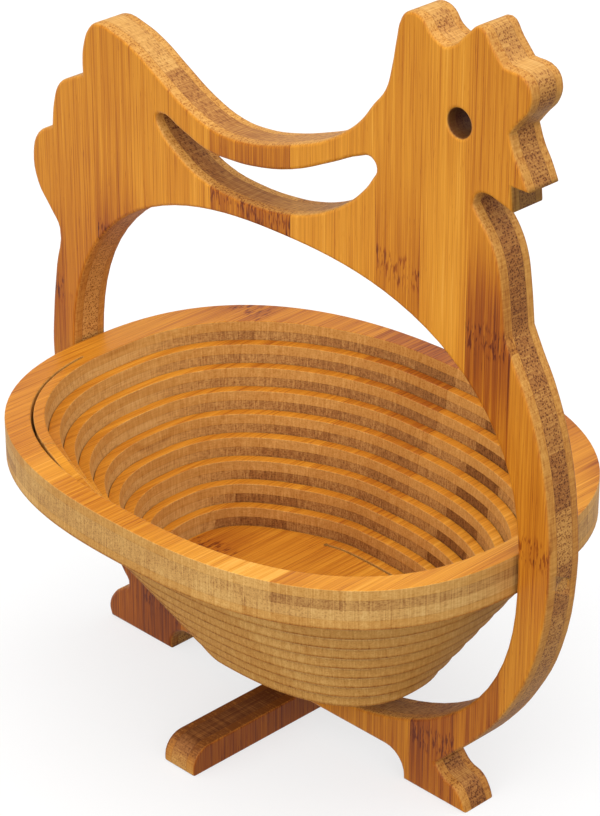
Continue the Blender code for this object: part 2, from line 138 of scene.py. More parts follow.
# Soft borders: where each starts and where it is complete. DASH, FLECK and BUNDLE count in their
# texture's value, CUT in how squarely a face looks to the front or back, the others in mm.
PLY_BORDER = (PLY_EDGE + 0.12, PLY_EDGE - 0.12)
BACK_PLY_BORDER = (-0.1, 0.1)
BACK_EDGE_BORDER = (BACK_EDGE - 1.0, BACK_EDGE)
UPPER_HALF_BORDER = (130, 200)
EYE_BORDER = (EYE_RADIUS + 1.0, EYE_RADIUS + 0.2)
JOINT_BORDER = (0.30, 0.08)
GLUE_BORDER = (0.28, 0.08)
KNOT_SHADE_BORDER = (46, 4)
KNOT_DASHES_BORDER = (7, 3)
DASH_BORDER = (0.50, 0.62)
FLECK_BORDER = (0.66, 0.74)
BUNDLE_BORDER = (0.52, 0.20)
CUT_BORDER = (0.92, 0.45)
CORE_LINE_BLUR = 25

# How much each mark changes the tone, first on the faces and then on the cut edges
STREAK_DEPTH = 0.50
FIBRE_DEPTH = 0.62
CLOUD_DEPTH = 0.24
FLECK_DEPTH = 0.16
BUNDLE_DEPTH = 0.10
DASH_DEPTH = 0.30
JOINT_DEPTH = 0.18
SAW_MARK_DEPTH = 0.55
GLUE_DEPTH = 0.08
# painted shade along the back of each cut edge
BACK_EDGE_SHADE_DEPTH = 0.34

# Sheen and relief of the bamboo
SPECULAR_LEVEL = 0.18
FACE_ROUGHNESS = 0.38
CUT_ROUGHNESS = 0.60
FIBRE_ROUGHNESS = 0.16
STREAK_RELIEF = 0.4
FIBRE_RELIEF = 0.6
SAW_MARK_RELIEF = 1.2
DASH_RELIEF = 0.4
BUNDLE_RELIEF = 0.25
BAMBOO_BUMP = (0.6, 0.00012)

# Drawn steel: scratches for each metre, their detail, roughness and relief
SCRATCH_SCALE = (120, 2500, 2500)
SCRATCH_DETAIL = 3.0
STEEL_ROUGHNESS = 0.30
SCRATCH_ROUGHNESS = 0.25
STEEL_BUMP = (0.3, 0.00003)

# What sets the three boards apart. Tones run from 0, dark, to 1, light.
# lower_tones, upper_tones: the outer plies' strips in the lower and the upper half
# near_core_tones, far_core_tones: the core's strips before and beyond a line across the board
# line_is_height, line_at: whether that line is a height, and where it lies in mm
# core_upright: whether the core's strips run upright, as the outer plies' do
# cut_level: tone of the cut edges
# core_end_shade, level_edge_shade: how much darker than that the core's end grain beyond the line is,
# and how much painted shade the edges that face up or down get, painted light where it is below 0
# dot_depth: how dark the dots of end grain are
# cut_contrast: how strongly the cut edges show the strips' tones
# lacquer: how much of the faces' warm lacquer the cut edges have
BOARD_FIELDS = """lower_tones upper_tones near_core_tones far_core_tones line_is_height line_at
core_upright cut_level core_end_shade level_edge_shade dot_depth cut_contrast lacquer"""
Board = namedtuple("Board", BOARD_FIELDS)
FRAME_BOARD = Board(
    # The lower strips' tones are partly the strips' own and partly painted shade of the bowl over the
    # feet; strips 2 and 3, at the tail foot, are darkest for that painted shade.
    lower_tones=(0.46, 0.40, 0.22, 0.22, 0.44, 0.50, 0.50, 0.50, 0.46, 0.44, 0.40, 0.38, 0.54, 0.52),
    upper_tones=(0.58, 0.60, 0.60, 0.64, 0.62, 0.56, 0.50, 0.70, 0.66, 0.62, 0.70, 0.56, 0.56, 0.56),
    # Strips 9 and 10 here are dark for painted shade on the walls of the narrow handle slot.
    near_core_tones=(0.50, 0.50, 0.50, 0.54, 0.58, 0.60, 0.62, 0.64, 0.46, 0.12, 0.22, 0.62, 0.76, 0.92),
    far_core_tones=(0.40, 0.60, 0.78, 0.80, 0.64, 0.92, 0.54, 0.70, 0.56, 0.48, 0.46, 0.62, 0.66, 0.75),
    line_is_height=False,
    line_at=-20.0,
    core_upright=False,
    cut_level=0.51,
    core_end_shade=0.25,
    # painted light on the edges that face up, such as the handle's top and the comb
    level_edge_shade=-0.06,
    dot_depth=0.32,
    cut_contrast=0.60,
    lacquer=0.32,
)
FOOT_CORE_TONES = (0.46, 0.44, 0.50, 0.56, 0.60, 0.50, 0.60, 0.50, 0.60, 0.44, 0.28, 0.54, 0.62, 0.85)
# The foot's middle strips, which lie under the bowl, are darker: painted shadow of the bowl.
FOOT_BOARD = Board(
    lower_tones=(0.46, 0.40, 0.40, 0.34, 0.28, 0.24, 0.22, 0.24, 0.28, 0.34, 0.40, 0.38, 0.54, 0.52),
    upper_tones=FRAME_BOARD.upper_tones,
    near_core_tones=FOOT_CORE_TONES,
    far_core_tones=FOOT_CORE_TONES,
    line_is_height=True,
    line_at=0.0,
    core_upright=False,
    cut_level=0.57,
    # slightly lighter core end grain on the foot's ends: painted light on the lit ends
    core_end_shade=-0.04,
    # painted shadow of the bowl on the foot's top
    level_edge_shade=0.42,
    dot_depth=0.10,
    cut_contrast=0.50,
    lacquer=0.30,
)
BOWL_BOARD = Board(
    lower_tones=(0.52, 0.56, 0.58, 0.56, 0.70, 0.54, 0.54, 0.60, 0.70, 0.84, 0.74, 0.72, 0.60, 0.60),
    upper_tones=(0.46, 0.46, 0.46, 0.50, 0.44, 0.44, 0.40, 0.50, 0.46, 0.46, 0.48, 0.46, 0.46, 0.46),
    near_core_tones=(0.62, 0.62, 0.62, 0.62, 0.58, 0.54, 0.52, 0.52, 0.48, 0.46, 0.36, 0.34, 0.36, 0.40),
    far_core_tones=(0.46, 0.46, 0.42, 0.42, 0.28, 0.42, 0.32, 0.42, -0.02, 0.50, 0.52, 0.50, 0.46, 0.46),
    line_is_height=True,
    line_at=110.0,
    core_upright=True,
    cut_level=0.57,
    core_end_shade=0.12,
    level_edge_shade=0.00,
    dot_depth=0.08,
    cut_contrast=0.55,
    lacquer=0.06,
)


def srgb(red, green, blue):
    """Linear colour of three 8-bit screen values."""
    linear = []
    for value in (red, green, blue):
        share = value / 255
        linear.append(share / 12.92 if share <= 0.04045 else ((share + 0.055) / 1.055) ** 2.4)
    return (*linear, 1)


# Colours for tones from 0 to 1
FACE_COLOURS = (
    (0.00, srgb(98, 38, 8)),
    (0.25, srgb(156, 80, 18)),
    (0.50, srgb(196, 121, 30)),
    (0.75, srgb(222, 150, 46)),
    (1.00, srgb(240, 180, 84)),
)
CORE_CUT_COLOURS = (
    (0.00, srgb(92, 52, 22)),
    (0.30, srgb(152, 104, 56)),
    (0.60, srgb(202, 156, 90)),
    (1.00, srgb(230, 194, 130)),
)
PLY_CUT_COLOURS = (
    (0.00, srgb(122, 70, 24)),
    (0.30, srgb(176, 118, 52)),
    (0.60, srgb(198, 147, 77)),
    (1.00, srgb(230, 186, 116)),
)
# Painted shade on the wall of the drilled eye hole
EYE_SHADE_COLOUR = srgb(66, 20, 5)
STEEL_COLOUR = srgb(176, 176, 180)
WHITE = (1, 1, 1, 1)

# Floor
FLOOR_COLOUR = (0.96, 0.96, 0.96, 1)
FLOOR_BOUNCE_COLOUR = (0.18, 0.18, 0.18, 1)
FLOOR_GLOW_SHARE = 0.66
FLOOR_HALF_SIZE = 8.0
FLOOR_GRID = 4
FLOOR_DROP = 0.0002

# Camera and light
CAMERA_LOCATION = (0.7361, -0.7233, 0.6778)
CAMERA_ANGLES = (math.radians(61.96), 0, math.radians(45.33))
CAMERA_LENS = 190.7
SENSOR_WIDTH = 36
AMBIENT_STRENGTH = 0.28
# Direction that the light comes from, its strength and its apparent width in degrees
SUNS = {
    "ceiling_light": ((0.12, -0.42, 1.00), 2.80, 110),
    "front_light": ((0.05, -0.95, 0.15), 1.00, 40),
    "side_light": ((0.85, -0.45, 0.40), 0.54, 60),
    "back_light": ((0.35, 0.85, 0.60), 0.80, 60),
}


class Shader:
    """Node tree of one material, with short calls for the nodes used here."""

    def __init__(self, name):
        self.material = bpy.data.materials.new(name)
        self.material.use_nodes = True
        self.tree = self.material.node_tree
        self.surface = self.tree.nodes["Principled BSDF"]

    def feed(self, socket, value):
        if isinstance(value, bpy.types.NodeSocket):
            self.tree.links.new(value, socket)
        else:
            socket.default_value = value

    def node(self, kind, inputs=None, output=0, **settings):
        node = self.tree.nodes.new("ShaderNode" + kind)
        for name, value in settings.items():
            setattr(node, name, value)
        for key, value in (inputs or {}).items():
            self.feed(node.inputs[key], value)
        return node.outputs[output]

    def math(self, operation, *values):
        return self.node("Math", dict(enumerate(values)), operation=operation)

    def chain(self, operation, first, others):
        """The operation done with one value after another."""
        for other in others:
            first = self.math(operation, first, other)
        return first

    def add(self, first, *others):
        return self.chain("ADD", first, others)

    def subtract(self, first, *others):
        return self.chain("SUBTRACT", first, others)

    def multiply(self, first, *others):
        return self.chain("MULTIPLY", first, others)

    def divide(self, first, second):
        return self.math("DIVIDE", first, second)

    def absolute(self, value):
        return self.math("ABSOLUTE", value)

    def centred(self, value, amount):
        """A 0 to 1 value as a change around 0."""
        return self.multiply(self.subtract(value, 0.5), amount)

    def step(self, value, start, end):
        """0 at start, 1 at end, smooth between."""
        inputs = {"Value": value, "From Min": start, "From Max": end}
        return self.node("MapRange", inputs, interpolation_type="SMOOTHSTEP")

    def mix(self, share, first, second):
        """Mix of two numbers, which are inputs 2 and 3 of the node."""
        return self.node("Mix", {0: share, 2: first, 3: second}, data_type="FLOAT")

    def mix_colour(self, share, first, second):
        """Mix of two colours, which are inputs 6 and 7 of the node."""
        return self.node("Mix", {0: share, 6: first, 7: second}, output=2, data_type="RGBA")

    def combine(self, x, y, z=0.0):
        return self.node("CombineXYZ", {"X": x, "Y": y, "Z": z})

    def split(self, vector):
        node = self.tree.nodes.new("ShaderNodeSeparateXYZ")
        self.feed(node.inputs[0], vector)
        return node.outputs

    def vector_attribute(self, name):
        return self.node("Attribute", output="Vector", attribute_name=name)

    def ramp(self, value, stops, interpolation="LINEAR"):
        node = self.tree.nodes.new("ShaderNodeValToRGB")
        self.feed(node.inputs[0], value)
        node.color_ramp.interpolation = interpolation
        elements = node.color_ramp.elements
        while len(elements) < len(stops):
            elements.new(1)
        for element, (position, colour) in zip(elements, stops):
            element.position = position
            element.color = colour
        return node.outputs[0]

    def table(self, share, values):
        """One value for each equal step of share."""
        count = len(values)
        stops = [(number / count, (value, value, value, 1)) for number, value in enumerate(values)]
        return self.ramp(share, stops, "CONSTANT")

    def bump(self, height, strength, distance):
        inputs = {"Height": height, "Strength": strength, "Distance": distance}
        self.feed(self.surface.inputs["Normal"], self.node("Bump", inputs))


class Grain:
    """The board's three plies: which strip a point lies in and which way its fibres run."""

    def __init__(self, shader, board):
        self.shader = shader
        self.board = board
        inputs = {0: shader.vector_attribute("board"), "Scale": 1 / MM}
        place = shader.node("VectorMath", inputs, operation="SCALE")
        self.x, self.through, self.z = shader.split(place)
        self.core_depth = shader.absolute(self.through)
        self.core = shader.step(self.core_depth, *PLY_BORDER)
        beyond = self.z if board.line_is_height else self.x
        self.beyond = shader.step(beyond, board.line_at, board.line_at + CORE_LINE_BLUR)
        self.find_fibres()
        self.find_edges()
        self.find_strips()

    def find_fibres(self):
        """Fibres run up the board, or along it in a core of level strips."""
        upright = self.board.core_upright
        self.across = self.shader.mix(self.core, self.x, self.x if upright else self.z)
        self.along = self.shader.mix(self.core, self.z, self.z if upright else self.x)

    def find_edges(self):
        """How much a point lies on a cut edge, on one that faces up or down, and on end grain."""
        shader = self.shader
        inputs = {0: shader.vector_attribute("facing")}
        facing = shader.node("VectorMath", inputs, operation="ABSOLUTE")
        facing_x, facing_y, facing_z = shader.split(facing)
        core_end = facing_z if self.board.core_upright else facing_x
        self.cut = shader.step(facing_y, *CUT_BORDER)
        self.level_edge = shader.multiply(self.cut, facing_z)
        self.end_grain = shader.multiply(self.cut, shader.mix(self.core, facing_z, core_end))

    def find_strips(self):
        """Number of the strip at a point, also as a share of all strips."""
        shader = self.shader
        back = shader.step(self.through, *BACK_PLY_BORDER)
        ply_place = shader.mix(back, self.x, shader.multiply(self.x, -1))
        core_place = ply_place
        if not self.board.core_upright:
            core_place = shader.subtract(self.z, CORE_STRIPS_MIDDLE)
        place = shader.mix(self.core, ply_place, core_place)
        joints_passed = shader.divide(shader.subtract(place, STRIP_JOINT_AT), STRIP_SPACING)
        self.strip = shader.add(joints_passed, STRIP_COUNT / 2)
        self.strip_share = shader.divide(self.strip, STRIP_COUNT)

    def stretched(self, across, through, along):
        """Place in the board for features of this size in mm."""
        shader = self.shader
        return shader.combine(
            shader.divide(self.across, across),
            shader.divide(self.through, through),
            shader.divide(self.along, along),
        )

    def noise(self, across, through, along, detail):
        vector = self.stretched(across, through, along)
        return self.shader.node("TexNoise", {"Vector": vector, "Scale": 1.0, "Detail": detail})

    def tone(self):
        """Tone of the strip that a point lies in."""
        shader = self.shader
        board = self.board
        lower = shader.table(self.strip_share, board.lower_tones)
        upper = shader.table(self.strip_share, board.upper_tones)
        near_core = shader.table(self.strip_share, board.near_core_tones)
        far_core = shader.table(self.strip_share, board.far_core_tones)
        outer = shader.mix(shader.step(self.z, *UPPER_HALF_BORDER), lower, upper)
        return shader.mix(self.core, outer, shader.mix(self.beyond, near_core, far_core))

    def eye_hole_shade(self):
        """1 on the wall of the drilled eye, where shade is painted."""
        shader = self.shader
        offset = shader.combine(
            shader.subtract(self.x, EYE_PLACE[0]),
            shader.subtract(self.z, EYE_PLACE[1]),
        )
        distance = shader.node("VectorMath", {0: offset}, output="Value", operation="LENGTH")
        return shader.multiply(shader.step(distance, *EYE_BORDER), self.cut)

    def joint_line(self):
        """1 on the thin joint between two strips."""
        shader = self.shader
        share = shader.math("FRACT", shader.add(self.strip, 0.5))
        distance = shader.multiply(shader.absolute(shader.subtract(share, 0.5)), STRIP_SPACING)
        return shader.step(distance, *JOINT_BORDER)

    def glue_line(self):
        """1 on the two glue lines between the plies, where a cut shows them."""
        shader = self.shader
        distance = shader.absolute(shader.subtract(self.core_depth, PLY_EDGE))
        return shader.multiply(shader.step(distance, *GLUE_BORDER), self.cut)

    def back_edge_shade(self):
        """1 at the back of a cut edge, such as each ring's lower edge, where shade is painted."""
        shader = self.shader
        return shader.multiply(shader.step(self.through, *BACK_EDGE_BORDER), self.cut)

    def bundles(self):
        """1 in the dark fibre bundles: dots on end grain, fine dashes along the fibres."""
        inputs = {"Vector": self.stretched(*BUNDLES), "Scale": 1.0}
        distance = self.shader.node("TexVoronoi", inputs, output="Distance")
        return self.shader.step(distance, *BUNDLE_BORDER)

    def knot_distance(self):
        """How far from the knot of its strip a point lies along the fibres, in mm."""
        shader = self.shader
        heights = [height / KNOT_SPAN for height in KNOT_HEIGHTS]
        middle = shader.multiply(shader.table(self.strip_share, heights), KNOT_SPAN)
        core_shift = 0 if self.board.core_upright else KNOT_SPAN / 2
        along = shader.add(self.along, shader.multiply(self.core, core_shift))
        wave = shader.centred(self.noise(*KNOT_WAVE), KNOT_WAVE_HEIGHT)
        return shader.absolute(shader.add(shader.subtract(along, middle), wave))

    def knot_shade(self, distance):
        """Darkening of the wood round the knots."""
        shader = self.shader
        depth = shader.table(self.strip_share, KNOT_SHADES)
        return shader.multiply(depth, shader.step(distance, *KNOT_SHADE_BORDER))


class BambooLook:
    """Lacquered three-ply bamboo board; every colour and line follows the board's own grain."""

    def __init__(self, name, board):
        shader = Shader(name)
        grain = Grain(shader, board)
        self.shader = shader
        self.board = board
        self.grain = grain
        self.streaks = grain.noise(*STREAKS)
        self.fibres = grain.noise(*FIBRES)
        self.saw_marks = grain.noise(*SAW_MARKS)
        self.bundles = grain.bundles()
        self.knot = grain.knot_distance()
        dashes = shader.step(grain.noise(*DASHES), *DASH_BORDER)
        self.dashes = shader.multiply(shader.step(self.knot, *KNOT_DASHES_BORDER), dashes)

    def face_tone(self):
        shader = self.shader
        grain = self.grain
        flecks = shader.step(grain.noise(*FLECKS), *FLECK_BORDER)
        tone = shader.add(
            grain.tone(),
            shader.centred(self.streaks, STREAK_DEPTH),
            shader.centred(self.fibres, FIBRE_DEPTH),
            shader.centred(grain.noise(*CLOUDS), CLOUD_DEPTH),
        )
        return shader.subtract(
            tone,
            shader.multiply(flecks, FLECK_DEPTH),
            shader.multiply(self.bundles, BUNDLE_DEPTH),
            grain.knot_shade(self.knot),
            shader.multiply(self.dashes, DASH_DEPTH),
            shader.multiply(grain.joint_line(), JOINT_DEPTH),
        )

    def cut_tone(self, face_tone):
        """The faces' tone, softened, with saw marks, end grain and glue lines."""
        shader = self.shader
        grain = self.grain
        board = self.board
        core_end = shader.multiply(grain.end_grain, grain.core, grain.beyond)
        tone = shader.add(
            board.cut_level,
            shader.centred(face_tone, board.cut_contrast),
            shader.centred(self.saw_marks, SAW_MARK_DEPTH),
        )
        return shader.subtract(
            tone,
            shader.multiply(self.bundles, shader.multiply(grain.end_grain, board.dot_depth)),
            shader.multiply(core_end, board.core_end_shade),
            # painted shade on edges that face up or down, painted light where the board's value is below
            # 0
            shader.multiply(grain.level_edge, board.level_edge_shade),
            shader.multiply(grain.glue_line(), GLUE_DEPTH),
            # painted shade along the back of each cut edge
            shader.multiply(grain.back_edge_shade(), BACK_EDGE_SHADE_DEPTH),
        )

    def colour(self):
        shader = self.shader
        grain = self.grain
        face_tone = self.face_tone()
        cut_tone = self.cut_tone(face_tone)
        ply_colour = shader.ramp(cut_tone, PLY_CUT_COLOURS)
        core_colour = shader.ramp(cut_tone, CORE_CUT_COLOURS)
        bare_colour = shader.mix_colour(grain.core, ply_colour, core_colour)
        warm_colour = shader.ramp(cut_tone, FACE_COLOURS)
        cut_colour = shader.mix_colour(self.board.lacquer, bare_colour, warm_colour)
        face_colour = shader.ramp(face_tone, FACE_COLOURS)
        colour = shader.mix_colour(grain.cut, face_colour, cut_colour)
        # painted shade darkens the eye hole's wall
        eye_shade = shader.multiply(grain.eye_hole_shade(), EYE_SHADE_SHARE)
        return shader.mix_colour(eye_shade, colour, EYE_SHADE_COLOUR)

    def roughness(self):
        shader = self.shader
        smooth = shader.mix(self.grain.cut, FACE_ROUGHNESS, CUT_ROUGHNESS)
        return shader.add(smooth, shader.centred(self.fibres, FIBRE_ROUGHNESS))

    def relief(self):
        shader = self.shader
        saw_marks = shader.centred(self.saw_marks, SAW_MARK_RELIEF)
        raised = shader.add(
            shader.centred(self.streaks, STREAK_RELIEF),
            shader.centred(self.fibres, FIBRE_RELIEF),
            shader.multiply(saw_marks, self.grain.cut),
        )
        return shader.subtract(
            raised,
            shader.multiply(self.dashes, DASH_RELIEF),
            shader.multiply(self.bundles, BUNDLE_RELIEF),
        )

    def material(self):
        shader = self.shader
        shader.surface.inputs["Specular IOR Level"].default_value = SPECULAR_LEVEL
        shader.feed(shader.surface.inputs["Base Color"], self.colour())
        shader.feed(shader.surface.inputs["Roughness"], self.roughness())
        shader.bump(self.relief(), *BAMBOO_BUMP)
        return shader.material


def steel_material():
    """Drawn steel of the pins and the screw, with faint lengthwise scratches."""
    shader = Shader("drawn_steel")
    place = shader.node("TexCoord", output="Object")
    vector = shader.node("Mapping", {"Vector": place, "Scale": SCRATCH_SCALE})
    inputs = {"Vector": vector, "Scale": 1.0, "Detail": SCRATCH_DETAIL}
    scratches = shader.node("TexNoise", inputs)
    shader.surface.inputs["Base Color"].default_value = STEEL_COLOUR
    shader.surface.inputs["Metallic"].default_value = 1.0
    roughness = shader.add(STEEL_ROUGHNESS, shader.centred(scratches, SCRATCH_ROUGHNESS))
    shader.feed(shader.surface.inputs["Roughness"], roughness)
    shader.bump(scratches, *STEEL_BUMP)
    return shader.material


def object_from_bmesh(name, bm):
    bmesh.ops.recalc_face_normals(bm, faces=bm.faces)
    mesh = bpy.data.meshes.new(name)
    bm.to_mesh(mesh)
    bm.free()
    piece = bpy.data.objects.new(name, mesh)
    bpy.context.scene.collection.objects.link(piece)
    return piece


def mark_rounded_edges(piece, is_rounded):
    """Weigh the sharp edges that the sanding rounds."""
    bm = bmesh.new()
    bm.from_mesh(piece.data)
    weight = bm.edges.layers.float.new("bevel_weight_edge")
    for edge in bm.edges:
        if len(edge.link_faces) != 2 or edge.calc_face_angle() <= ROUNDED_ANGLE:
            continue
        if is_rounded(edge):
            edge[weight] = 1
    bm.to_mesh(piece.data)
    bm.free()


def round_edges(piece, width, steps=SMALL_ROUNDING_STEPS):
    """Round the weighed edges, leave one plain mesh and smooth it."""
    piece.data.shade_smooth()
    piece.data.set_sharp_from_angle(angle=SMOOTH_ANGLE)
    bevel = piece.modifiers.new("rounding", "BEVEL")
    bevel.width = width
    bevel.segments = steps
    bevel.limit_method = "WEIGHT"
    bevel.use_clamp_overlap = False
    bevel.harden_normals = True
    apply_modifiers(piece)


def apply_modifiers(piece):
    evaluated = piece.evaluated_get(bpy.context.evaluated_depsgraph_get())
    mesh = bpy.data.meshes.new_from_object(evaluated)
    piece.modifiers.clear()
    piece.data = mesh


def give_board_frame(piece, place_on_board, way_on_board, material):
    """Store where each point lay on the flat board and which way each face looks there."""
    mesh = piece.data
    board = mesh.attributes.new("board", "FLOAT_VECTOR", "POINT")
    for vertex in mesh.vertices:
        board.data[vertex.index].vector = place_on_board(vertex.co)
    facing = mesh.attributes.new("facing", "FLOAT_VECTOR", "CORNER")
    for index, normal in enumerate(mesh.corner_normals):
        facing.data[index].vector = way_on_board(normal.vector)
    mesh.materials.clear()
    mesh.materials.append(material)


def welded_mesh(node):
    """Copy of a CAD node's mesh with its triangles joined at their corners."""
    bm = bmesh.new()
    bm.from_mesh(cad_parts[node].data)
    bmesh.ops.remove_doubles(bm, verts=bm.verts, dist=WELD_DISTANCE)
    return bm


def dressed_copy(node, name):
    """Copy of a CAD node with its triangles joined into whole faces."""
    bm = welded_mesh(node)
    bmesh.ops.dissolve_limit(bm, angle_limit=PLANAR_ANGLE, verts=bm.verts, edges=bm.edges)
    return object_from_bmesh(name, bm)


def settle(piece, body, node):
    """Put a finished piece on its body in place of a CAD node."""
    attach(piece, body)
    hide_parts(node)


def open_flat_faces(bm):
    """Take the board's two flat faces away and list the rims left round its walls."""
    flat = [face for face in bm.faces if abs(face.normal.y) > FLAT_SHARE]
    bmesh.ops.delete(bm, geom=flat, context="FACES")
    return [edge for edge in bm.edges if edge.is_boundary]


def wall_directions(rims):
    """For each point of the rims, the way out of the wood, long enough to keep a corner's mitre."""
    outwards = {}
    for edge in rims:
        normal = edge.link_faces[0].normal
        outward = Vector((normal.x, 0, normal.z)).normalized()
        for vert in edge.verts:
            outwards.setdefault(vert, []).append(outward)
    directions = {}
    for vert, (first, second) in outwards.items():
        directions[vert] = (first + second) / max(1 + first.dot(second), SHARPEST_MITRE)
    return directions


def join_crossings(rims, directions, width):
    """Let both ends of a short edge meet in one point where the rounding would cross itself."""
    for _ in range(CROSSING_PASSES):
        for edge in rims:
            first, second = edge.verts
            along = second.co - first.co
            inner = along - (directions[second] - directions[first]) * width
            if inner.dot(along) < 0:
                inward = (directions[first] + directions[second]) * width
                middle = (first.co + second.co - inward) / 2
                directions[first] = (first.co - middle) / width
                directions[second] = (second.co - middle) / width


def rounding_rings(bm, directions, width):
    """Lower each point of the rims and add the points of its rounding, from wall to face."""
    rings = {}
    for vert, direction in directions.items():
        place = vert.co.copy()
        side = math.copysign(1, place.y)
        vert.co.y = place.y - side * width
        rings[vert] = [vert]
        for step in range(1, ROUNDING_STEPS + 1):
            angle = math.pi / 2 * step / ROUNDING_STEPS
            inward = width * (1 - math.cos(angle))
            drop = width * (1 - math.sin(angle))
            corner = place - direction * inward
            point = (corner.x, place.y - side * drop, corner.z)
            rings[vert].append(bm.verts.new(point))
    return rings


def sand_board(bm, width):
    """Round the long edges of the board's two faces and close the faces again."""
    rims = open_flat_faces(bm)
    directions = wall_directions(rims)
    join_crossings(rims, directions, width)
    rings = rounding_rings(bm, directions, width)
    for edge in rims:
        first, second = (rings[vert] for vert in edge.verts)
        for low in range(ROUNDING_STEPS):
            bm.faces.new((first[low], second[low], second[low + 1], first[low + 1]))
    bmesh.ops.remove_doubles(bm, verts=bm.verts, dist=WELD_DISTANCE)
    for side in (-1, 1):
        open_edges = [edge for edge in bm.edges if edge.is_boundary]
        inner = [edge for edge in open_edges if edge.verts[0].co.y * side > 0]
        bmesh.ops.triangle_fill(bm, edges=inner, use_beauty=True)


def keep_faces_flat(mesh):
    """Smooth walls and roundings, with the flat faces kept apart from them."""
    mesh.shade_smooth()
    mesh.set_sharp_from_angle(angle=SMOOTH_ANGLE)
    flat = set()
    others = set()
    for polygon in mesh.polygons:
        edges = flat if abs(polygon.normal.y) > FLAT_SHARE else others
        edges.update(polygon.edge_keys)
    seams = flat & others
    sharp = mesh.attributes.get("sharp_edge") or mesh.attributes.new("sharp_edge", "BOOLEAN", "EDGE")
    for edge in mesh.edges:
        if edge.key in seams:
            sharp.data[edge.index].value = True


def make_standing_frame(bamboo):
    def place_on_board(co):
        return Vector((co.x - PIVOT.x, co.y, co.z))

    bm = welded_mesh("frame")
    bm.normal_update()
    sand_board(bm, FRAME_ROUNDING)
    piece = object_from_bmesh("standing_frame", bm)
    keep_faces_flat(piece.data)
    give_board_frame(piece, place_on_board, lambda way: way, bamboo)
    settle(piece, "frame", "frame")


def make_cross_foot(bamboo):
    """The foot lies across the frame: its board's length runs along Y."""
    half = BOARD_THICKNESS / 2 - WELD_DISTANCE

    def is_on_face(edge):
        return min(abs(vert.co.x - PIVOT.x) for vert in edge.verts) > half

    def place_on_board(co):
        return Vector((co.y, PIVOT.x - co.x, co.z))

    def way_on_board(way):
        return Vector((way.y, -way.x, way.z))

    piece = dressed_copy("cross_foot", "cross_foot_board")
    mark_rounded_edges(piece, is_on_face)
    round_edges(piece, FOOT_ROUNDING, ROUNDING_STEPS)
    give_board_frame(piece, place_on_board, way_on_board, bamboo)
    settle(piece, "cross_foot", "cross_foot")


def make_plug(side_name, bamboo):
    """Dowel plug over a pivot pin, with end grain taken one strip higher than the rail's."""
    node = f"pin_plug_{side_name}"
    shift = Vector((0, 0, STRIP_SPACING * MM))
    piece = dressed_copy(node, f"dowel_{node}")
    mark_rounded_edges(piece, lambda edge: True)
    round_edges(piece, PLUG_ROUNDING)
    give_board_frame(piece, lambda co: co + shift, lambda way: way, bamboo)
    settle(piece, "frame", node)


def opening_radius(angle, half_width, half_height):
    across = abs(math.cos(angle)) / half_width
    upward = abs(math.sin(angle)) / half_height
    return (across ** OPENING_POWER + upward ** OPENING_POWER) ** (-1 / OPENING_POWER)


def eased(value):
    value = min(max(value, 0), 1)
    return value * value * (3 - 2 * value)


def kerf_inset(turn):
    """How far inside the bowl's outline the spiral cut lies after so many turns."""
    whole = math.floor(turn)
    shift = (turn - whole - SHIFT_START_SHARE) / (SHIFT_END_SHARE - SHIFT_START_SHARE)
    return RIM_WIDTH + STRIP_PITCH * (whole + eased(shift))


def bowl_plan(turn, inset):
    """Place in plan, from the bowl's centre."""
    angle = math.tau * (SPIRAL_START_SHARE + turn)
    radius = opening_radius(angle, RIM_HALF_LENGTH - inset, RIM_HALF_WIDTH - inset)
    return Vector((radius * math.cos(angle), radius * math.sin(angle), 0))


def strip_insets(turn):
    """Insets of the strip's two sides on the board's top face."""
    return kerf_inset(turn) + STRIP_KERF / 2, kerf_inset(turn + 1) - STRIP_KERF / 2


class Level:
    """Depth of a level stretch of the bowl below its rim."""

    def __init__(self, number):
        self.depth = STRIP_DROP * number

    def depth_at(self, plan):
        return self.depth


class Ramp:
    """Depth of the stretch where the strip drops from one turn to the next.

    It drops with an eased share along the way from its start to its end.
    """

    def __init__(self, number):
        self.number = number
        first = self.corners(number + DROP_START_SHARE)
        last = self.corners(number + DROP_END_SHARE)
        first_middle = (first[0] + first[1]) / 2
        last_middle = (last[0] + last[1]) / 2
        way = (last_middle - first_middle).normalized()
        self.start = first_middle + way * max((point - first_middle).dot(way) for point in first)
        self.end = last_middle + way * min((point - last_middle).dot(way) for point in last)

    @staticmethod
    def corners(turn):
        outer, inner = strip_insets(turn)
        insets = (outer, inner, inner + KERF_LEAN, outer + KERF_LEAN)
        return [bowl_plan(turn, inset) for inset in insets]

    def depth_at(self, plan):
        path = self.end - self.start
        share = (Vector((plan.x, plan.y, 0)) - self.start).dot(path) / path.length_squared
        return STRIP_DROP * (self.number + eased(share))


